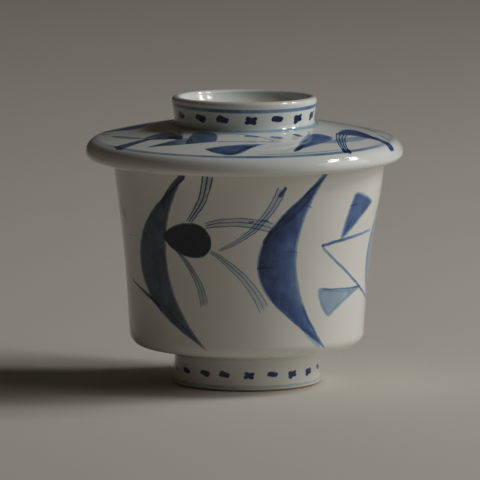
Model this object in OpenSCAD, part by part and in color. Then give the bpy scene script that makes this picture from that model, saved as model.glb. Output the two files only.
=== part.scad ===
// Lidded tea cup: a bowl on a turned foot ring, and a lid with a rolled edge and a ring grip.
// Millimetres, +Z up. The origin is the centre of the foot ring's contact face.

/* [Cup] */
// Height of the cup's rim above the surface it stands on
cup_height = 69.5; // [62:0.5:80]
// Outer diameter of the rim
rim_d = 82; // [80:0.5:84]
// Outer diameter of the bowl just above its lower corner
bowl_d = 70.6; // [68:0.2:73]
// Thickness of the bowl's wall near the floor
wall_low = 3.0; // [2.6:0.1:3.4]
// Thickness of the bowl's wall at the rim
wall_rim = 2.4; // [2:0.1:2.8]
// Radius of the bowl's outer lower corner
corner_r = 4.1; // [3:0.1:5]
// Radius of the hollow where the inner wall meets the floor
inner_corner_r = 9; // [6:0.5:12]
// Height of the inside floor at its centre
floor_z = 13; // [12.5:0.1:14]

/* [Foot ring] */
// Outer diameter of the foot ring where it stands
foot_d = 44.3; // [42:0.1:47]
// Width of the foot ring where it stands
foot_wall = 3.4; // [3:0.1:4]
// Height at which the underside of the bowl leaves the foot ring
foot_h = 9.7; // [9.2:0.1:10.4]
// Height of the ceiling of the recess inside the foot ring
recess_z = 8; // [6.5:0.1:8.5]

/* [Lid] */
// Outer diameter of the rolled edge
lid_d = 96; // [94:0.5:98]
// Height of the rolled edge from its lowest point to the line where the plate begins
edge_h = 6.2; // [5.8:0.1:6.6]
// How far the rolled edge hangs below the seat
edge_drop = 1.4; // [1:0.1:1.8]
// Rise of the lid's top from the rolled edge to the ring grip
plate_rise = 3.8; // [3.4:0.1:4.4]
// Thickness of the plate in the middle
plate_t = 3.8; // [3.4:0.1:4.2]
// Outer diameter of the flange that keeps the lid in the mouth
flange_d = 71.2; // [70:0.2:71.6]
// How far the flange reaches below the seat
flange_drop = 4.6; // [3.5:0.1:5.5]
// How far the lid sits off centre, within its slack in the mouth
lid_shift = -0.7; // [-0.8:0.1:0.8]
// Gap left between the seat and the rim
seat_gap = 0.1; // [0.05:0.05:0.2]

/* [Ring grip] */
// Outer diameter of the grip at its lip
grip_d = 43.5; // [42.5:0.1:44.5]
// Outer diameter of the grip where it meets the plate
grip_base_d = 42; // [41.4:0.1:42.4]
// Height of the grip above the plate
grip_h = 9.2; // [8:0.1:10]
// Thickness of the grip's wall
grip_wall = 2.5; // [2.2:0.1:3]

/* [Hidden] */
$fn = 120;
porcelain = [0.86, 0.86, 0.82];
lid_white = [0.80, 0.83, 0.84];
arc_steps = 8;
wall_steps = 16;

// Points on an arc of radius r about [cx, cz], from angle a0 to a1; rx and rz stretch it
function arc(cx, cz, rx, rz, a0, a1, n = arc_steps) =
    [for (i = [0:n]) let (a = a0 + (a1 - a0) * i / n) [cx + rx * cos(a), cz + rz * sin(a)]];

// Points on a cubic curve through p0 and p3, drawn towards p1 and p2
function curve(p0, p1, p2, p3, n = wall_steps) =
    [for (i = [0:n]) let (t = i / n, s = 1 - t)
        s * s * s * p0 + 3 * s * s * t * p1 + 3 * s * t * t * p2 + t * t * t * p3];

// The same list of points, in the other order
function back(p) = [for (i = [len(p) - 1:-1:0]) p[i]];

// Cup: heights and radii that both faces of the wall are worked out from
rim_r = rim_d / 2;
bowl_r = bowl_d / 2;
foot_r = foot_d / 2;
lip_r = wall_rim / 2;
belly_z = foot_h + 6;
bend_z = cup_height * 0.65;
flare_z = cup_height * 0.72;

// Outer face of the bowl, from the lower corner to the lip: a shallow S that flares above the middle
outer_wall = curve([bowl_r, belly_z], [bowl_r + 1.6, bend_z], [rim_r - 1.8, flare_z],
                   [rim_r, cup_height - lip_r]);
inner_foot_z = floor_z + inner_corner_r;
inner_wall = curve([bowl_r - wall_low, inner_foot_z], [bowl_r + 1.4 - wall_low, bend_z],
                   [rim_r - 1.8 - wall_rim, flare_z], [rim_r - wall_rim, cup_height - lip_r]);

module cup_section() {
    underside_tilt = 10;
    edge_round = 0.9;
    taper = 0.5;
    inner_lean = 1.2;
    foot_in = foot_r - foot_wall;
    polygon(concat(
        [[0, recess_z], [foot_in - inner_lean - 1.5, recess_z]],
        arc(foot_in - inner_lean - 1.5, recess_z - 1.5, 1.5, 1.5, 90, 10),
        arc(foot_in + 0.6, 0.6, 0.6, 0.6, 180, 270),
        arc(foot_r - edge_round, edge_round, edge_round, edge_round, 270, 360),
        arc(foot_r - taper + 0.8, foot_h - 0.8, 0.8, 0.8, 180, 90 + underside_tilt, 4),
        arc(bowl_r - corner_r, belly_z, corner_r, corner_r, 270 + underside_tilt, 360),
        outer_wall,
        arc(rim_r - lip_r, cup_height - lip_r, lip_r, lip_r, 15, 165),
        back(inner_wall),
        arc(bowl_r - wall_low - inner_corner_r, inner_foot_z, inner_corner_r, inner_corner_r - 0.5, 350, 275),
        [[0, floor_z]]
    ));
}

// Lid: heights above the surface the cup stands on
seat_z = cup_height + seat_gap;
edge_low = seat_z - edge_drop;
edge_top = edge_low + edge_h;
plate_top = edge_top + plate_rise;
grip_top = plate_top + grip_h;
lid_r = lid_d / 2;
flange_r = flange_d / 2;
grip_r = grip_d / 2;
grip_base_r = grip_base_d / 2;

module lid_section() {
    edge_w = 4.6;
    edge_under = 1.8;
    edge_mid = edge_low + edge_under;
    grip_floor = plate_top;
    grip_in = grip_r - grip_wall;
    under_z = grip_floor - plate_t;
    flange_wall = 3;
    flange_low = seat_z - flange_drop;
    lip = 1;
    hollow_rise = 0.3;
    fillet = 1.2;
    bulge = 0.5;
    polygon(concat(
        [[0, under_z]],
        curve([12, under_z], [20, under_z], [26, under_z - 0.4],
              [flange_r - flange_wall - fillet, under_z - 1.2], 8),
        arc(flange_r - flange_wall - fillet, under_z - 1.2 - fillet, fillet, fillet, 80, 5, 4),
        arc(flange_r - flange_wall / 2, flange_low + 1.2, flange_wall / 2, 1.2, 180, 360),
        arc(flange_r + fillet, seat_z - fillet, fillet, fillet, 180, 90, 4),
        curve([lid_r - 6, seat_z], [lid_r - 4.6, seat_z], [lid_r - 3.2, edge_low],
              [lid_r - edge_under, edge_low], 6),
        arc(lid_r - edge_under, edge_mid, edge_under, edge_under, 275, 360),
        arc(lid_r - edge_w, edge_mid, edge_w, edge_h - edge_under, 5, 82),
        curve([lid_r - edge_w - 0.6, edge_top + 0.06], [lid_r - 12, edge_top + 1.2 + bulge],
              [grip_base_r + 8, plate_top - 1.2 + bulge / 2], [grip_base_r + 1.6, plate_top], 10),
        arc(grip_base_r + 1.4, plate_top + 1.4, 1.4, 1.4, 270, 184, 5),
        arc(grip_r - lip, grip_top - lip, lip, lip, 0, 90, 5),
        arc(grip_in + lip, grip_top - lip, lip, lip, 90, 180, 5),
        arc(0, grip_top + hollow_rise, grip_in + 0.2, grip_h + hollow_rise, -9, -84, 10),
        [[0, grip_floor]]
    ));
}

module cup() {
    color(porcelain) rotate_extrude() cup_section();
}

module lid() {
    color(lid_white) translate([lid_shift, 0, 0]) rotate_extrude() lid_section();
}

cup();
lid();
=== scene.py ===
"""A hand-painted porcelain tea cup with its lid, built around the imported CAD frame.

The cup and the lid are fine thrown shapes that stand for the two CAD nodes. Their painting is drawn
by shader nodes, stroke by stroke. Lengths in the shape and painting sections are millimetres.
"""
import math

import bmesh
import bpy
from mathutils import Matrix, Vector, noise


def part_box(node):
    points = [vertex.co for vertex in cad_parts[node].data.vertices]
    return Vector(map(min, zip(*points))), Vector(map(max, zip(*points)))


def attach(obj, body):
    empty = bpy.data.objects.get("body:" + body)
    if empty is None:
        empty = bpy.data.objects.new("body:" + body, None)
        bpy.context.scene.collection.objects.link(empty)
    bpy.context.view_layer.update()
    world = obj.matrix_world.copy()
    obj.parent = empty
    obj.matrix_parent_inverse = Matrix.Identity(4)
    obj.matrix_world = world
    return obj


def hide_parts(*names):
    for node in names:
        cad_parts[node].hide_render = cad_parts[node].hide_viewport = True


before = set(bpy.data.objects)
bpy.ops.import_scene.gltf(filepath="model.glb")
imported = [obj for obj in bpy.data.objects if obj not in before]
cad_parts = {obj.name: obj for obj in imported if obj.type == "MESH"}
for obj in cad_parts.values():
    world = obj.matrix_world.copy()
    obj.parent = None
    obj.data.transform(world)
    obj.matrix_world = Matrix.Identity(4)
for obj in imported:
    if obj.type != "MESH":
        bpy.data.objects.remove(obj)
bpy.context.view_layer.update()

MM = 0.001
cup_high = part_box("cup")[1]
lid_low, lid_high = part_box("lid")

# ---------------------------------------------------------------- sizes, in mm, the first ones taken from the frame
RIM_Z = cup_high.z / MM
RIM_R = cup_high.x / MM
LID_R = (lid_high.x - lid_low.x) / 2 / MM
LID_X = (lid_high.x + lid_low.x) / 2 / MM
TOP_Z = lid_high.z / MM
SEAT_Z = RIM_Z + 0.1
BOWL_R = 35.3
FOOT_R = 22.15
FOOT_H = 9.7
LEAN = 0.8
# The bowl's painting is drawn on a sheet as wide as half the way round at this radius, and repeats once
SHEET_R = 38.0
REPEAT = math.pi * SHEET_R


# ---------------------------------------------------------------- outlines: points (radius, height)
def arc(cx, cz, rx, rz, start, end, steps=12):
    """Points on an arc about (cx, cz), from one angle to another in degrees."""
    angles = [math.radians(start + (end - start) * i / steps) for i in range(steps + 1)]
    return [(cx + rx * math.cos(a), cz + rz * math.sin(a)) for a in angles]


def curve(p0, p1, p2, p3, steps=60):
    """Points on a cubic curve from p0 to p3, drawn towards p1 and p2."""
    points = []
    for i in range(steps + 1):
        t = i / steps
        s = 1 - t
        weights = (s**3, 3 * s * s * t, 3 * s * t * t, t**3)
        points.append(tuple(sum(w * p[k] for w, p in zip(weights, (p0, p1, p2, p3))) for k in (0, 1)))
    return points


def line(p0, p1, steps):
    """Points between p0 and p1, without the ends."""
    return [tuple(a + (b - a) * i / steps for a, b in zip(p0, p1)) for i in range(1, steps)]


def cup_outline():
    """From the middle of the foot's recess, round the outside and the lip, to the middle of the floor."""
    lip = 1.2
    corner = 4.1
    recess_z, floor_z = 8.0, 13.0
    belly_z, bend_z, flare_z = FOOT_H + 6, RIM_Z * 0.65, RIM_Z * 0.72
    floor_round = 9.0
    wall_low = 3.0
    foot_wall = 3.4
    foot_in = FOOT_R - foot_wall
    floor_r = BOWL_R - wall_low - floor_round
    outer = curve((BOWL_R, belly_z), (BOWL_R + 1.6, bend_z), (RIM_R - 1.8, flare_z), (RIM_R, RIM_Z - lip))
    inner = curve(
        (RIM_R - 2 * lip, RIM_Z - lip), (RIM_R - 1.8 - 2 * lip, flare_z),
        (BOWL_R + 1.4 - wall_low, bend_z), (BOWL_R - wall_low, floor_z + floor_round),
    )
    return (
        [(0, recess_z + 0.35)]
        + line((0, recess_z + 0.35), (15.0, recess_z), 8)
        + arc(foot_in - 2.7, recess_z - 1.5, 1.5, 1.5, 90, 8, 8)
        + line((foot_in - 1.2, recess_z - 1.3), (foot_in, 0.7), 8)
        + arc(foot_in + 0.7, 0.7, 0.7, 0.7, 180, 270, 6)
        + line((foot_in + 0.7, 0), (FOOT_R - 0.9, 0), 4)
        + arc(FOOT_R - 0.9, 0.9, 0.9, 0.9, 270, 360, 8)
        + line((FOOT_R, 0.9), (FOOT_R - 0.5, FOOT_H - 0.8), 12)
        + arc(FOOT_R + 0.3, FOOT_H - 0.8, 0.8, 0.8, 180, 100, 6)
        + line((FOOT_R + 0.2, FOOT_H), (BOWL_R - 3.4, FOOT_H + 1.96), 10)
        + arc(BOWL_R - corner, belly_z, corner, corner, 280, 358, 14)
        + outer
        + arc(RIM_R - lip, RIM_Z - lip, lip, lip, 12, 168, 14)
        + inner
        + arc(floor_r, floor_z + floor_round, floor_round, floor_round - 0.5, 355, 275, 16)
        + line((24, 13.45), (0, floor_z), 10)
        + [(0, floor_z)]
    )


def lid_outline():
    """From the middle of the underside, round the flange, the edge and the grip, to the grip's floor."""
    edge_low, edge_top = SEAT_Z - 1.4, SEAT_Z + 4.8
    edge_w, edge_under = 4.6, 1.8
    edge_mid = edge_low + edge_under
    plate_top = edge_top + 3.8
    floor_z = plate_top
    under_z = floor_z - 3.8
    flange_r, flange_low = 35.6, SEAT_Z - 4.6
    grip_r, grip_base = 21.75, 21.0
    grip_in = grip_r - 2.5
    fillet = 1.9
    lip = 1.15
    return (
        [(0, under_z)]
        + line((0, under_z), (12, under_z), 6)
        + curve((12, under_z), (20, under_z), (26, under_z - 0.4), (31.4, under_z - 1.2), 24)
        + arc(31.4, under_z - 2.4, 1.2, 1.2, 80, 5, 6)
        + line((32.6, under_z - 2.5), (32.6, flange_low + 1.2), 5)
        + arc(flange_r - 1.5, flange_low + 1.2, 1.5, 1.2, 180, 360, 14)
        + line((flange_r, flange_low + 1.2), (flange_r, SEAT_Z - 1.2), 4)
        + arc(flange_r + 1.2, SEAT_Z - 1.2, 1.2, 1.2, 180, 90, 7)
        + line((flange_r + 1.2, SEAT_Z), (LID_R - 6, SEAT_Z), 8)
        + curve((LID_R - 6, SEAT_Z), (LID_R - 4.6, SEAT_Z),
                (LID_R - 3.2, edge_low), (LID_R - edge_under, edge_low), 14)
        + arc(LID_R - edge_under, edge_mid, edge_under, edge_under, 278, 358, 12)
        + arc(LID_R - edge_w, edge_mid, edge_w, 4.2, 3, 84, 24)
        + curve((LID_R - 5.2, edge_top + 0.03), (LID_R - 12, edge_top + 1.7),
                (grip_base + 8, plate_top - 0.95), (grip_base + fillet + 0.1, plate_top - 0.03), 46)
        + arc(grip_base + fillet, plate_top + fillet, fillet, fillet, 268, 184, 12)
        + line((grip_base, plate_top + fillet + 0.1), (grip_r, TOP_Z - lip), 12)
        + arc(grip_r - lip, TOP_Z - lip, lip, lip, 0, 90, 10)
        + arc(grip_in + lip, TOP_Z - lip, lip, lip, 90, 180, 10)
        + arc(0, TOP_Z + 0.3, grip_in + 0.2, TOP_Z + 0.3 - floor_z, -9.5, -86, 34)
        + [(0, floor_z)]
    )


# ---------------------------------------------------------------- thrown shapes
def tidy(outline, shortest=0.05):
    """The outline without points that lie almost on the one before."""
    kept = [outline[0]]
    for point in outline[1:-1]:
        if math.dist(point, kept[-1]) > shortest:
            kept.append(point)
    return kept + [outline[-1]]


def thrown(name, outline, wander, segments=256):
    """A closed mesh of an outline turned about +Z, each point moved by wander(angle, radius, height)."""
    points = tidy(outline)
    mesh = bmesh.new()
    rings = []
    for radius, height in points[1:-1]:
        ring = []
        for k in range(segments):
            angle = 2 * math.pi * k / segments
            ring.append(mesh.verts.new(Vector(wander(angle, radius, height)) * MM))
        rings.append(ring)
    first = mesh.verts.new(Vector(wander(0, *points[0])) * MM)
    last = mesh.verts.new(Vector(wander(0, *points[-1])) * MM)
    for k in range(segments):
        n = (k + 1) % segments
        mesh.faces.new((first, rings[0][n], rings[0][k]))
        mesh.faces.new((last, rings[-1][k], rings[-1][n]))
        for low, high in zip(rings, rings[1:]):
            mesh.faces.new((low[k], low[n], high[n], high[k]))
    bmesh.ops.recalc_face_normals(mesh, faces=mesh.faces)
    data = bpy.data.meshes.new(name)
    mesh.to_mesh(data)
    mesh.free()
    data.polygons.foreach_set("use_smooth", [True] * len(data.polygons))
    piece = bpy.data.objects.new(name, data)
    bpy.context.collection.objects.link(piece)
    return piece


def smooth(low, high, value):
    """0 below low, 1 above high, and a smooth rise between them."""
    t = min(1.0, max(0.0, (value - low) / (high - low)))
    return t * t * (3 - 2 * t)


def cup_wander(angle, radius, height):
    """The cup's hand-made shape: it leans a little, is slightly oval and carries faint throwing rings."""
    up = smooth(18, RIM_Z, height)
    side = smooth(24, 34, radius)
    oval = 0.10 * math.cos(2 * angle + 0.7) + 0.06 * math.cos(3 * angle + 2.1)
    rings = 0.012 * math.sin(height * 1.9 + angle) * side * (1 - smooth(62, 67, height))
    r = radius + side * (oval * (0.3 + 0.7 * up) - 0.16 * up) + rings
    return (r * math.cos(angle) + LEAN * up, r * math.sin(angle), height)


def lid_wander(angle, radius, height):
    """The lid's hand-made shape: an edge that dips a little, a grip not quite round and lower behind."""
    edge = smooth(40, 47, radius)
    grip = smooth(79, 86, height)
    dip = edge * 0.08 * math.sin(2 * angle + 1.2)
    soft = 0.10 * noise.noise(Vector((math.cos(angle), math.sin(angle), 0)) * 1.4) * edge
    oval = grip * 0.10 * math.cos(2 * angle + 0.4) + edge * 0.05 * math.cos(3 * angle)
    r = radius - edge * 0.2 + oval + soft
    fall = 0.6 * (1 + math.sin(angle)) * smooth(80, TOP_Z - 1, height)
    z = height + dip * smooth(69.8, 72, height) - fall
    return (LID_X + r * math.cos(angle), r * math.sin(angle), z)


# ---------------------------------------------------------------- arithmetic with shader nodes
class Term:
    """A number worked out on the surface. Arithmetic on it adds Math nodes to its tree."""

    def __init__(self, tree, socket):
        self.tree = tree
        self.socket = socket

    def op(self, operation, *others, clamp=False):
        node = self.tree.nodes.new("ShaderNodeMath")
        node.operation = operation
        node.use_clamp = clamp
        for entry, value in zip(node.inputs, (self, *others)):
            put(self.tree, entry, value)
        return Term(self.tree, node.outputs[0])

    def __add__(self, other):
        return self.op("ADD", other)

    def __sub__(self, other):
        return self.op("SUBTRACT", other)

    def __mul__(self, other):
        return self.op("MULTIPLY", other)

    def __truediv__(self, other):
        return self.op("DIVIDE", other)

    def __neg__(self):
        return self.op("MULTIPLY", -1.0)

    def times_plus(self, factor, extra, clamp=False):
        return self.op("MULTIPLY_ADD", factor, extra, clamp=clamp)

    def size(self):
        return self.op("ABSOLUTE")

    def least(self, other):
        return self.op("MINIMUM", other)

    def most(self, other):
        return self.op("MAXIMUM", other)

    def step(self, low, high, out_low=0.0, out_high=1.0):
        """A smooth rise from out_low to out_high as this goes from low to high."""
        node = self.tree.nodes.new("ShaderNodeMapRange")
        node.interpolation_type = "SMOOTHSTEP"
        for entry, value in zip(node.inputs, (self, low, high, out_low, out_high)):
            put(self.tree, entry, value)
        return Term(self.tree, node.outputs[0])


def put(tree, entry, value):
    """Sets a socket to a number, or links it to a term."""
    if isinstance(value, Term):
        tree.links.new(value.socket, entry)
    else:
        entry.default_value = value


def surface_mm(tree):
    """The place on the object in mm, as three terms, and the vector itself."""
    place = tree.nodes.new("ShaderNodeTexCoord")
    scaled = tree.nodes.new("ShaderNodeVectorMath")
    scaled.operation = "SCALE"
    scaled.inputs["Scale"].default_value = 1 / MM
    tree.links.new(place.outputs["Object"], scaled.inputs[0])
    split = tree.nodes.new("ShaderNodeSeparateXYZ")
    tree.links.new(scaled.outputs[0], split.inputs[0])
    return [Term(tree, out) for out in split.outputs], scaled.outputs[0]


def facing(tree):
    """The surface's own direction, as three terms."""
    geometry = tree.nodes.new("ShaderNodeNewGeometry")
    split = tree.nodes.new("ShaderNodeSeparateXYZ")
    tree.links.new(geometry.outputs["Normal"], split.inputs[0])
    return [Term(tree, out) for out in split.outputs]


def grain(tree, place, period, detail=1.0, shift=0.0, squeeze=(1, 1, 1)):
    """Smooth noise, about -1 to 1, with features about period mm across."""
    moved = tree.nodes.new("ShaderNodeMapping")
    moved.inputs["Location"].default_value = (shift, shift * 1.7, shift * 0.6)
    moved.inputs["Scale"].default_value = tuple(s / period for s in squeeze)
    tree.links.new(place, moved.inputs["Vector"])
    texture = tree.nodes.new("ShaderNodeTexNoise")
    texture.inputs["Scale"].default_value = 1.0
    texture.inputs["Detail"].default_value = detail
    texture.inputs["Roughness"].default_value = 0.5
    tree.links.new(moved.outputs[0], texture.inputs["Vector"])
    return Term(tree, texture.outputs[0]).times_plus(2.0, -1.0)


# ---------------------------------------------------------------- brush strokes
class Painting:
    """Cobalt on a flat sheet whose coordinates x and y are mm. Each stroke adds to the pigment.

    A stroke runs from start to end. u goes from 0 to 1 along it and v is the distance to its left.
    """

    def __init__(self, x, y):
        self.x = x
        self.y = y
        self.pigment = x * 0.0

    def along(self, start, end):
        """u, clamped to the stroke's own length, and v, for the stroke from start to end."""
        length = math.dist(start, end)
        dx, dy = (end[0] - start[0]) / length, (end[1] - start[1]) / length
        u = self.x.times_plus(
            dx / length,
            self.y.times_plus(dy / length, -(start[0] * dx + start[1] * dy) / length),
            clamp=True,
        )
        v = self.x.times_plus(-dy, self.y.times_plus(dx, start[0] * dy - start[1] * dx))
        return u, v

    def arch(self, u, peak=0.5, fullness=1.0):
        """0 at both ends of u and 1 at its peak; a fullness under 1 makes the ends rounder."""
        if peak == 0.5 and fullness == 1.0:
            return (u * (u.times_plus(-1.0, 1.0))) * 4.0
        scale = 2 * fullness
        p, q = scale * peak, scale * (1 - peak)
        top = peak**p * (1 - peak) ** q
        return u.op("POWER", p) * u.times_plus(-1.0, 1.0).op("POWER", q) * (1 / top)

    def add(self, amount):
        self.pigment = self.pigment + amount

    def line(self, start, end, width, ink, bend=0.0, taper=6.0, grow=0.0, soft=0.35, fade=None):
        """A drawn line. bend bows it to its left; taper sets how blunt its ends are.

        grow widens it towards its end, and fade is the strength of the ink at the start and at the end.
        """
        u, v = self.along(start, end)
        rise = u * u.times_plus(-1.0, 1.0)
        if bend:
            v = rise.times_plus(-4.0 * bend, v)
        reach = rise.times_plus(taper, 0.0, clamp=True) * (width / 2)
        if grow:
            reach = reach * u.times_plus(grow, 1.0 - grow / 2)
        strength = u.times_plus((fade[1] - fade[0]) * ink, fade[0] * ink) if fade else ink
        self.add((reach - v.size()).step(0.0, soft) * strength)

    def petal(self, start, end, left, right, wash, edge=0.0, peak=0.5, fullness=1.0, edge_width=0.45,
              soft=0.6, fade=(1.0, 1.0), lean=0.0, right_fullness=None):
        """A filled shape between two bows, left and right of the stroke's line, with a drawn edge.

        fade is the strength of the wash at the start and at the end; lean darkens one side of it.
        The right bow may have a fullness of its own.
        """
        u, v = self.along(start, end)
        bow = self.arch(u, peak, fullness)
        other_bow = self.arch(u, peak, right_fullness) if right_fullness else bow
        over = bow.times_plus(left, -v)
        under = v - other_bow * right
        inside = over.least(under)
        strength = u.times_plus((fade[1] - fade[0]) * wash, fade[0] * wash)
        if lean:
            share = (over / (over + under + 0.01)).least(1.0).most(0.0)
            strength = strength * share.times_plus(-lean, 1.0 + lean / 2)
        self.add(inside.step(0.0, soft) * strength)
        if edge:
            rim = inside.size().step(edge_width, edge_width * 0.3) * bow.step(0.0, 0.12)
            self.add(rim * edge)

    def patch(self, corners, bows, wash, edge=0.0, edge_width=0.5, soft=0.6, fade=(1.0, 1.0), rounding=1.5):
        """A filled shape with its corners given anticlockwise. Each side bows outward by its own amount.

        fade is the strength of the wash at the first corner and across from it.
        """
        inside = None
        for start, end, bow in zip(corners, corners[1:] + corners[:1], bows):
            u, v = self.along(start, end)
            side = (u * u.times_plus(-1.0, 1.0)).times_plus(4.0 * bow, v)
            inside = inside.op("SMOOTH_MIN", side, rounding) if inside else side
        others = corners[1:]
        across = [sum(corner[k] for corner in others) / len(others) for k in (0, 1)]
        u, v = self.along(corners[0], across)
        strength = u.times_plus((fade[1] - fade[0]) * wash, fade[0] * wash)
        self.add(inside.step(0.0, soft) * strength)
        if edge:
            self.add(inside.size().step(edge_width, edge_width * 0.3) * edge)

    def tendril(self, start, end, widths, ink, wash, bend=0.0, hairs=3, fade=(1.0, 1.0), hair=0.26):
        """A bundle of fine lines with a faint wash between them, widening from start to end."""
        u, v = self.along(start, end)
        rise = u * u.times_plus(-1.0, 1.0)
        if bend:
            v = rise.times_plus(-4.0 * bend, v)
        half = u.times_plus((widths[1] - widths[0]) / 2, widths[0] / 2)
        ends = rise.times_plus(22.0, 0.0, clamp=True)
        across = v / half
        inside = across.size().step(1.25, 1.05) * ends
        gap = 2 / (hairs - 1)
        nearest = (across.times_plus(1 / gap, 0.5 + 1 / gap)).op("FRACT").times_plus(1.0, -0.5).size()
        strokes = (nearest * half * gap).step(hair, hair * 0.2)
        strength = u.times_plus(fade[1] - fade[0], fade[0])
        self.add(strokes.times_plus(ink, wash) * inside * strength)


# What is left of white light under each amount of pigment: bright cobalt, and a greyer copy of it, used as
# painted shade
COBALT = (
    (0.0, (1.0, 1.0, 1.0)), (0.15, (0.72, 0.82, 0.91)),
    (0.4, (0.41, 0.58, 0.78)), (1.0, (0.11, 0.215, 0.56)),
    (1.5, (0.048, 0.098, 0.32)), (2.2, (0.02, 0.04, 0.14)), (3.0, (0.010, 0.017, 0.05)),
)
SHADED_COBALT = (
    (0.0, (1.0, 1.0, 1.0)), (0.15, (0.77, 0.80, 0.84)),
    (0.4, (0.48, 0.54, 0.61)), (1.0, (0.14, 0.19, 0.25)),
    (1.5, (0.065, 0.092, 0.13)), (2.2, (0.024, 0.034, 0.056)), (3.0, (0.009, 0.013, 0.027)),
)
MOST_PIGMENT = 3.0


def ramp(tree, amount, stops):
    """A colour that changes with an amount, through the given stops."""
    node = tree.nodes.new("ShaderNodeValToRGB")
    points = node.color_ramp.elements
    while len(points) < len(stops):
        points.new(1.0)
    for point, (at, colour) in zip(points, stops):
        point.position = at / MOST_PIGMENT
        point.color = (*colour, 1.0)
    put(tree, node.inputs[0], amount / MOST_PIGMENT)
    return node.outputs[0]


def blend(tree, share, first, second, how="MIX"):
    """A mix of two colours, each a socket or a plain colour."""
    node = tree.nodes.new("ShaderNodeMix")
    node.data_type = "RGBA"
    node.blend_type = how
    put(tree, node.inputs[0], share)
    for entry, colour in ((node.inputs[6], first), (node.inputs[7], second)):
        if isinstance(colour, tuple):
            entry.default_value = (*colour, 1.0)
        else:
            tree.links.new(colour, entry)
    return node.outputs[2]


def brushed(tree, place, pigment):
    """The pigment as a brush leaves it: faint streaks down the stroke, pooled patches and fine grain."""
    streaks = grain(tree, place, 1.5, detail=3, shift=3.1, squeeze=(1, 1, 0.2))
    pools = grain(tree, place, 6.0, detail=3, shift=8.7)
    dust = grain(tree, place, 0.35, detail=1, shift=1.3)
    return pigment * streaks.times_plus(0.20, pools.times_plus(0.50, dust.times_plus(0.12, 1.0)))


# ---------------------------------------------------------------- the painting on each piece
def dabs(tree, angle, height, radius, count, turn, level, size, ink):
    """A row of small marks round a ring, each of two crossed touches of the brush at chance angles."""
    spacing = 2 * math.pi / count
    cell = angle.times_plus(1 / spacing, 0.5 - math.radians(turn) / spacing)
    which = tree.nodes.new("ShaderNodeTexWhiteNoise")
    which.noise_dimensions = "1D"
    put(tree, which.inputs["W"], cell.op("FLOOR"))
    split = tree.nodes.new("ShaderNodeSeparateColor")
    tree.links.new(which.outputs["Color"], split.inputs[0])
    first, second, third = [Term(tree, out) for out in split.outputs]
    x = (cell.op("FRACT") - 0.5) * (spacing * radius / size) + third.times_plus(0.3, -0.15)
    y = (height - level) * (1 / size) + first.times_plus(0.4, -0.2)
    touches = ((first, -0.1, 0.75, 1.0, 0.5), (second, -0.7, 0.1, 0.8, 0.55))
    uneven = x * third.times_plus(0.3, -0.15)
    marks = None
    for chance, low, high, reach, half_width in touches:
        tilt = chance.times_plus(high - low, low)
        cosine, sine = tilt.op("COSINE"), tilt.op("SINE")
        along = (x * cosine + y * sine).size()
        past = (along - reach).most(0.0)
        across = y * cosine - x * sine
        distance = (past * past + across * across).op("SQRT") + along * 0.2 + uneven
        mark = distance.step(half_width + 0.2, half_width - 0.16, 0.0, ink)
        marks = marks.most(mark) if marks else mark
    return marks


def hoop(distance, width, ink, soft=0.35):
    """A line drawn round the piece while it turned on the wheel, from the distance to its middle."""
    return distance.size().step(width / 2 + soft / 2, width / 2 - soft / 2, 0.0, ink)


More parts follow.
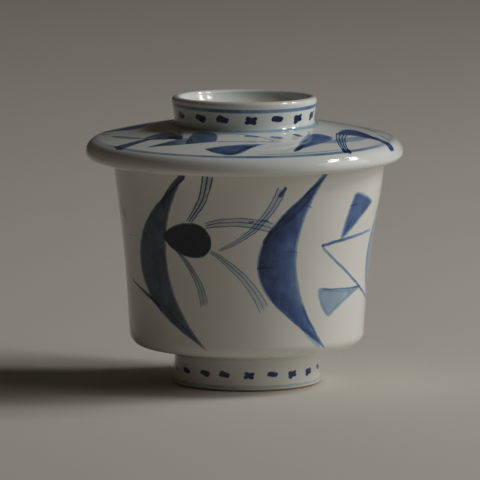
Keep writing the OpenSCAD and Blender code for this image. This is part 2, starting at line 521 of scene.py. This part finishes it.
def paint_cup_front(x, y):
    """The bowl's painting. x is mm round the wall to the right of the front's middle; y is the height."""
    p = Painting(x, y)
    # three crescent leaves; the third one also shows at the other end of the repeat
    p.petal((-17.8, 67.8), (-12.6, 13.6), -11.7, -24.2, 2.0, edge=0.7,
            right_fullness=1.2, fade=(1.0, 0.55), lean=-0.3)
    p.petal((24.4, 68.5), (28.2, 13.4), -11.1, -23.0, 1.6, edge=0.45,
            right_fullness=1.16, fade=(1.05, 0.6), lean=-0.7)
    for shift in (0, -REPEAT):
        p.petal((68.5 + shift, 67.5), (72.5 + shift, 14), -12.5, -21.8, 0.45, edge=0.3, lean=-0.6)
    p.line((-17.8, 67.8), (-27.6, 57), 1.9, 1.3, bend=-0.7, grow=-0.8, taper=10)
    p.line((24, 68.5), (15.8, 60), 1.4, 0.9, grow=-0.6)
    p.line((21, 64), (8.6, 51), 1.8, 0.6, bend=0.9, taper=5, soft=0.9)
    p.line((7.9, 51.8), (4.7, 46.4), 1.5, 0.8)
    p.line((-34, 32), (-15, 16.8), 0.8, 0.4, bend=-0.9, taper=5)
    # Negative ink takes a fine light streak out of the second crescent leaf: a painted highlight.
    p.line((6.3, 31.1), (17.1, 19.5), 0.7, -0.55, bend=-0.6, taper=5)
    p.line((17.8, 21.5), (26.3, 13.8), 3.2, 0.35, soft=1.4, taper=5)
    # Negative ink takes a broad, soft light band out of the same leaf: a painted highlight.
    p.line((9.2, 28.5), (20, 17.5), 4.4, -0.5, bend=-0.8, soft=2.0, taper=5)
    p.line((16.6, 30), (25.6, 15.8), 1.7, 0.6, bend=-0.3, soft=1.0, taper=5)
    # the dark bud between the first two, and its five tendrils
    p.petal((-27.4, 48.1), (-10.9, 46.6), 5.4, -4.8, 2.8, edge=1.4, peak=0.62, fullness=0.66, soft=0.4)
    p.tendril((-18, 53), (-11.1, 68.2), (1.5, 3.0), 1.3, 0.25, bend=-1.5, fade=(0.7, 1.4), hair=0.32)
    p.tendril((-12.8, 52.1), (8.2, 51.5), (1.8, 3.0), 0.65, 0.18, bend=1.8, fade=(1.2, 0.8))
    p.tendril((-9, 44.6), (9.9, 63.6), (0.8, 2.7), 0.8, 0.2, bend=-3.1, fade=(0.7, 1.2))
    p.tendril((-11.6, 44.6), (5.7, 26.4), (1.0, 3.2), 0.65, 0.16, bend=2.0, fade=(1.2, 0.7))
    p.tendril((-22.4, 43.8), (-13.6, 27.6), (0.8, 2.6), 0.6, 0.34, bend=1.7, fade=(1.3, 0.7))
    p.line((9.1, 61), (11.3, 64.3), 1.3, 1.3, taper=8)
    p.line((0.3, 53.4), (2.4, 53.9), 1.0, 0.7)
    p.line((4.2, 54.2), (7.0, 53.8), 0.9, 0.5)
    p.line((2.8, 39.5), (8.3, 39.8), 0.9, 0.7, taper=12, fade=(1.3, 0.6))
    p.line((16.8, 58.6), (19.6, 57.3), 0.7, 0.5)
    p.line((11, 44.4), (17, 44), 0.6, 0.35)
    # twigs, loose petals and what shows of the strokes at the left
    p.line((-47.5, 33), (-30.8, 26.5), 1.3, 1.7, bend=0.5, grow=0.9, taper=14)
    p.line((-31.8, 26.7), (-30.2, 26.2), 1.3, 0.7)
    p.petal((-52, 57.5), (-46.2, 48.5), 1.9, -1.4, 0.5, soft=1.5)
    p.line((-48, 46.2), (-38.6, 47.2), 0.6, 0.3)
    p.patch([(31, 46.4), (45.9, 56.6), (35.6, 60.6)], [-0.3, 0.5, 0.5], 1.15, edge=0.4, fade=(0.75, 1.15))
    p.line((33, 56.6), (37.6, 57.2), 0.8, 0.5)
    p.line((31.2, 46.8), (36.4, 54.2), 1.1, 0.4, soft=0.6)
    p.line((23.4, 45.3), (49, 47.7), 1.25, 1.0, bend=0.5, taper=40, fade=(1.1, 0.35))
    p.line((23.6, 45.5), (57, 25.4), 1.15, 0.75, bend=-1.7, taper=40, fade=(0.6, 1.3))
    p.patch([(28.3, 23.6), (45, 31), (24.2, 32.2)], [-0.9, -0.7, 0.9], 0.42,
            edge=0.5, edge_width=0.7, rounding=2.5)
    p.line((24.6, 32), (45.4, 30.9), 0.8, 0.7, taper=14, fade=(0.7, 1.2))
    return p.pigment


def paint_lid_top(x, y):
    """Half of the lid's painting, seen from above. x and y are mm from its middle; the front is -y."""
    p = Painting(x, y)
    # the drop with a long tail, and the leaf and twig beside it
    p.petal((-30.2, -28.9), (-15.4, -27.8), 3.3, -2.5, 1.3, edge=0.9, peak=0.82, fade=(1.8, 0.3))
    p.patch([(-17.4, -30.4), (-8.8, -29.9), (-9.8, -20), (-15, -19.2)], [0.4, 1.0, 0.5, 0.2], 1.1, edge=0.9)
    p.line((-38.3, -24.4), (-28, -19.8), 4.2, 1.2, bend=0.5, grow=-0.8, taper=20)
    p.line((-30, -20.6), (-18.6, -24.8), 1.5, 0.9, bend=1.2)
    p.petal((-30.4, -18.2), (-18.4, -24.8), 6.6, -1.2, 1.2, edge=0.4,
            peak=0.38, fullness=0.8, fade=(0.7, 1.2))
    p.line((-22.8, -20), (-18.8, -25), 2.4, 0.9)
    p.line((-40, -3.4), (-29.6, -18.6), 2.2, 0.6, bend=-1.2)
    p.line((-19.7, -13.6), (-18.7, -23.6), 1.5, 0.6)
    # the three-cornered petal in front, and the fine outlined leaf behind it
    p.petal((-11.8, -36.9), (5.6, -33), 0.5, -7.3, 1.25, edge=0.8, peak=0.38, fullness=1.4, lean=-0.3)
    p.line((-3, -42), (6.8, -32.6), 1.5, 1.0, bend=1.0, taper=5)
    p.line((-9.6, -30), (9.5, -30.4), 0.8, 1.0, bend=-0.9, taper=14)
    p.line((-10, -22.6), (9.6, -30.2), 0.8, 0.9, bend=2.6, taper=14)
    p.line((-0.4, -24.9), (4.8, -26.2), 2.0, 0.9)
    p.line((7.4, -25.6), (12, -26), 2.4, 1.1)
    # the leaf, the loops and the dark arch on the right
    p.petal((15, -38.4), (24.4, -17.2), 3.5, -3.3, 1.0, edge=0.6, peak=0.78, fullness=0.9, fade=(1.2, 0.9))
    p.tendril((15.2, -37.4), (22.6, -20), (0.8, 4.4), 0.5, 0.0, hairs=4, fade=(1.2, 0.5))
    p.line((14.8, -38.8), (18.2, -29.5), 1.7, 0.9, grow=-0.7)
    p.line((14.4, -19.6), (17.4, -23), 2.2, 1.0)
    p.tendril((29.4, -11.4), (30.9, -33.6), (3.0, 1.8), 1.2, 0.25, bend=-1.2, hairs=4, fade=(0.8, 1.3))
    p.line((29.4, -29.6), (30.2, -34), 1.4, 1.3)
    p.line((31, -29), (31.5, -33.3), 1.6, 1.3)
    p.petal((22.6, -27.6), (37.6, -8), 0.2, -3.0, 0.45, edge=0.4)
    p.petal((27.4, -14.6), (41.6, -12.6), 13.0, 1.6, 1.45, edge=0.3, soft=1.6, fade=(0.7, 1.2))
    p.line((37.8, -6.6), (44.9, -17.4), 3.0, 1.1, bend=0.7, taper=14, fade=(0.8, 1.5))
    p.line((39.7, 1.3), (44.2, -8), 2.0, 0.45, soft=1.0)
    return p.pigment


# ---------------------------------------------------------------- materials
CUP_WHITE = (0.80, 0.80, 0.75)
LID_WHITE = (0.77, 0.795, 0.775)


def start_material(name):
    """A new material's node tree and its main shader."""
    material = bpy.data.materials.new(name)
    material.use_nodes = True
    tree = material.node_tree
    return material, tree, tree.nodes["Principled BSDF"]


def glazed(name, white, paint, thick, painted_warm_light, bare):
    """Glazed porcelain. paint takes the tree and the surface's x, y, z and direction and gives the pigment
    and how much of it is greyed as painted shade; thick, the warm tint and bare take x, y and z and give
    how far the glaze has pooled, how strongly a warm tint paints warm light on the rims, and where the
    glaze is missing."""
    material, tree, shader = start_material(name)
    (x, y, z), place = surface_mm(tree)
    towards = facing(tree)
    pigment, painted_shade_share = paint(tree, place, x, y, z, towards)
    # Greyer cobalt is mixed in on the painting's shaded side: painted shade.
    colours = blend(tree, painted_shade_share, ramp(tree, pigment, COBALT), ramp(tree, pigment, SHADED_COBALT))

    clouds = grain(tree, place, 22, detail=2, shift=4.4)
    shaded = tuple(c * k for c, k in zip(white, (0.95, 0.965, 0.955)))
    body = blend(tree, clouds.step(-0.6, 0.6), white, shaded)
    body = blend(tree, thick(x, y, z) * 0.8, body, (0.60, 0.69, 0.68))
    # A warm brownish tint on the cup's rim and the grip's lip: painted warm light.
    body = blend(tree, painted_warm_light(x, y, z) * 0.7, body, (0.68, 0.60, 0.49))
    painted = blend(tree, 1.0, body, colours, "MULTIPLY")
    specks = grain(tree, place, 1.1, detail=0, shift=11.3).step(0.66, 0.78)
    specks = specks * grain(tree, place, 6, shift=2).step(0.1, 0.5)
    painted = blend(tree, specks * 0.55, painted, (0.16, 0.11, 0.07))
    clay_grain = grain(tree, place, 0.5, detail=3, shift=5)
    clay = blend(tree, clay_grain.step(-0.7, 0.7), (0.40, 0.22, 0.11), (0.58, 0.36, 0.20))
    missing = bare(x, y, z)
    tree.links.new(blend(tree, missing, painted, clay), shader.inputs["Base Color"])

    dull = grain(tree, place, 3.5, detail=3, shift=6.1).times_plus(0.03, 0.085)
    put(tree, shader.inputs["Roughness"], missing * (-dull + 0.78) + dull)
    shader.inputs["IOR"].default_value = 1.47
    swell = tree.nodes.new("ShaderNodeBump")
    swell.inputs["Strength"].default_value = 1.0
    swell.inputs["Distance"].default_value = 0.025 * MM
    put(tree, swell.inputs["Height"], grain(tree, place, 9, detail=1, shift=7))
    peel = tree.nodes.new("ShaderNodeBump")
    peel.inputs["Strength"].default_value = 1.0
    peel.inputs["Distance"].default_value = 0.004 * MM
    height = grain(tree, place, 1.2, detail=2, shift=2.5) + missing * clay_grain * 6.0
    put(tree, peel.inputs["Height"], height)
    tree.links.new(swell.outputs[0], peel.inputs["Normal"])
    tree.links.new(peel.outputs[0], shader.inputs["Normal"])
    return material


def wobbled(tree, place, x, y, size=0.28):
    """x and y moved a little, so that drawn edges look brushed by hand."""
    coarse = grain(tree, place, 5.0, detail=1, shift=12)
    fine = grain(tree, place, 1.1, detail=1, shift=15)
    across = grain(tree, place, 4.0, detail=1, shift=21)
    return x + coarse * size + fine * (size * 0.45), y + across * size - fine * (size * 0.45)


def cup_paint(tree, place, x, y, z, towards):
    """Leaves, bud and tendrils round the bowl, drawn twice, and dabs and a line on the foot ring."""
    angle = x.op("ARCTAN2", -y)
    round_mm = (angle * SHEET_R).op("WRAP", REPEAT / 2, -REPEAT / 2)
    sheet_x, sheet_y = wobbled(tree, place, round_mm, z)
    behind = y.step(2, 14)
    drift = grain(tree, place, 30, detail=0, shift=31) * behind
    bowl = paint_cup_front(sheet_x + drift * 3.0, sheet_y - drift * 2.0)
    outward = (x * towards[0] + y * towards[1]).step(0.0, 4.0)
    bowl = bowl * z.step(12.4, 14.5)
    turned = grain(tree, place, 9, shift=17).times_plus(0.5, 0.8)
    foot = hoop(z - 1.4, 0.8, 0.32) * turned
    foot = foot + dabs(tree, angle, z, FOOT_R, 19, 2.0, 4.9, 1.35, 2.0)
    foot = foot * z.step(9.0, 8.4)
    pigment = brushed(tree, place, (bowl + foot) * outward)
    # Greyer cobalt on the left of each repeat of the painting: painted shade.
    painted_shade_share = round_mm.step(14, -16).times_plus(0.8, 0.1)
    return pigment, painted_shade_share


def lid_paint(tree, place, x, y, z, towards):
    """Petals and leaves on the plate, drawn twice, and lines and dabs on the edge and the grip."""
    lid_x = x - LID_X
    distance = (lid_x * lid_x + y * y).op("SQRT")
    turn = y.op("GREATER_THAN", 0.0).times_plus(-2.0, 1.0)
    half_x, half_y = wobbled(tree, place, lid_x * turn, y * turn)
    plate = paint_lid_top(half_x, half_y) * distance.step(22.0, 23.0)
    angle = lid_x.op("ARCTAN2", -y)
    loaded = grain(tree, place, 16, shift=19).times_plus(0.5, 0.75)
    from_side = (angle.size() - math.pi / 2).size()
    plate = plate + hoop(distance - 44.4, 1.5, 1.0) * loaded * from_side.step(0.3, 0.8, 0.2, 1.0)
    plate = plate + hoop(distance - 42.5, 0.7, 0.4) * angle.step(0.05, 0.2) * angle.step(0.95, 0.6)
    plate = plate * towards[2].step(0.2, 0.5) * distance.step(21.4, 22.6) * z.step(71.8, 72.6)
    outward = (lid_x * towards[0] + y * towards[1]).step(0.0, 3.0)
    wave = angle.op("SINE") * 0.25
    grip = hoop(z + wave - (TOP_Z - 2.75), 1.05, 1.15) * loaded + hoop(z - (TOP_Z - 8.8), 0.8, 0.35)
    grip = grip + dabs(tree, angle, z, 21.6, 16, 5.5, TOP_Z - 5.5, 1.55, 3.0)
    grip = grip * outward * distance.step(22.9, 22.3) * z.step(78.1, 78.5)
    pigment = brushed(tree, place, plate + grip)
    # Greyer cobalt on the left of the front half and on the matching part of its mirrored copy: painted
    # shade.
    painted_shade_share = (lid_x * turn).step(6, -20).times_plus(0.6, 0.25)
    return pigment, painted_shade_share


def porcelain_cup():
    """The cup's glaze: pooled under the bowl, warm on the rim with painted warm light, wiped off where the
    foot stands.
    """
    return glazed(
        "cup_glaze", CUP_WHITE, cup_paint,
        thick=lambda x, y, z: z.step(8.8, 10.0) * z.step(12.0, 10.6),
        # The rim's warm tint is painted warm light.
        painted_warm_light=lambda x, y, z: z.step(RIM_Z - 0.8, RIM_Z),
        bare=lambda x, y, z: z.step(0.75, 0.45),
    )


def porcelain_lid():
    """The lid's glaze: pooled round the grip's base, warm on the grip's lip with painted warm light, wiped
    off the seat.
    """
    def pooled(x, y, z):
        distance = ((x - LID_X) * (x - LID_X) + y * y).op("SQRT")
        return z.step(77.6, 78.2) * z.step(80.4, 78.8) * distance.step(24.5, 22.0)

    def seat(x, y, z):
        distance = ((x - LID_X) * (x - LID_X) + y * y).op("SQRT")
        return z.step(SEAT_Z + 0.5, SEAT_Z + 0.1) * distance.step(35.9, 36.4) * distance.step(43.2, 42.4)

    return glazed(
        "lid_glaze", LID_WHITE, lid_paint,
        # The grip lip's warm tint is painted warm light.
        thick=pooled, painted_warm_light=lambda x, y, z: z.step(TOP_Z - 1.2, TOP_Z - 0.2), bare=seat,
    )


def plain_floor():
    """A pale matt surface with the faintest unevenness."""
    material, tree, shader = start_material("floor")
    place = surface_mm(tree)[1]
    patches = grain(tree, place, 180, detail=3)
    colour = blend(tree, patches.step(-1, 1), (0.64, 0.605, 0.545), (0.68, 0.645, 0.585))
    tree.links.new(colour, shader.inputs["Base Color"])
    shader.inputs["Roughness"].default_value = 0.9
    return material


# ---------------------------------------------------------------- the pieces
def place_piece(name, node, outline, wander, material):
    """A thrown piece that stands for a CAD node and moves with its body."""
    piece = thrown(name, outline, wander)
    piece.data.materials.append(material)
    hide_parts(node)
    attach(piece, node)
    return piece


place_piece("cup_thrown", "cup", cup_outline(), cup_wander, porcelain_cup())
place_piece("lid_thrown", "lid", lid_outline(), lid_wander, porcelain_lid())


# ---------------------------------------------------------------- floor, light and camera
def make_floor(half=4.0):
    mesh = bpy.data.meshes.new("floor")
    corners = [(-half, -half, 0), (half, -half, 0), (half, half, 0), (-half, half, 0)]
    mesh.from_pydata(corners, [], [(0, 1, 2, 3)])
    mesh.materials.append(plain_floor())
    floor = bpy.data.objects.new("floor", mesh)
    bpy.context.collection.objects.link(floor)


def aim(thing, place, target):
    """Puts a light or the camera at a place, pointing at a target."""
    thing.location = place
    thing.rotation_euler = (Vector(target) - Vector(place)).to_track_quat("-Z", "Y").to_euler()


def area_light(name, place, target, width, height, power, colour, turn=0.0):
    """A rectangular lamp pointing at a target, turned about its own axis by some degrees."""
    lamp = bpy.data.lights.new(name, "AREA")
    lamp.shape = "RECTANGLE"
    lamp.size, lamp.size_y = width, height
    lamp.energy = power
    lamp.color = colour
    thing = bpy.data.objects.new(name, lamp)
    bpy.context.collection.objects.link(thing)
    aim(thing, place, target)
    thing.rotation_euler.rotate_axis("Z", math.radians(turn))


def make_light():
    """A window of two panes to the right, its soft surroundings, and a dim warm room."""
    middle = Vector((0, 0, 0.05))
    panes = {"pane_near": (0.702, -0.050, 0.710), "pane_far": (0.767, 0.180, 0.616)}
    for name, towards in panes.items():
        place = middle + Vector(towards) * 1.3
        area_light(name, place, middle, 0.14, 0.5, 3.6, (1.0, 0.99, 0.97), turn=-46)
    area_light("window_wall", middle + Vector((1.64, -0.24, 0.6)), middle, 1.3, 1.2, 9.0, (1.0, 0.99, 0.96))
    world = bpy.data.worlds.new("room")
    world.use_nodes = True
    world.node_tree.nodes["Background"].inputs["Color"].default_value = (1.0, 0.82, 0.62, 1.0)
    world.node_tree.nodes["Background"].inputs["Strength"].default_value = 0.025
    bpy.context.scene.world = world
    bpy.context.scene.view_settings.view_transform = "Standard"


def make_camera():
    """A long lens, well back, a little above the cup."""
    elevation = math.radians(7.8)
    distance = 4.0
    target = Vector((-0.002, 0, 0.043))
    lens = bpy.data.cameras.new("camera")
    lens.lens = 996
    lens.sensor_width = 36
    lens.clip_end = 50
    camera = bpy.data.objects.new("camera", lens)
    bpy.context.collection.objects.link(camera)
    aim(camera, target + distance * Vector((0, -math.cos(elevation), math.sin(elevation))), target)
    bpy.context.scene.camera = camera


make_floor()
make_light()
make_camera()
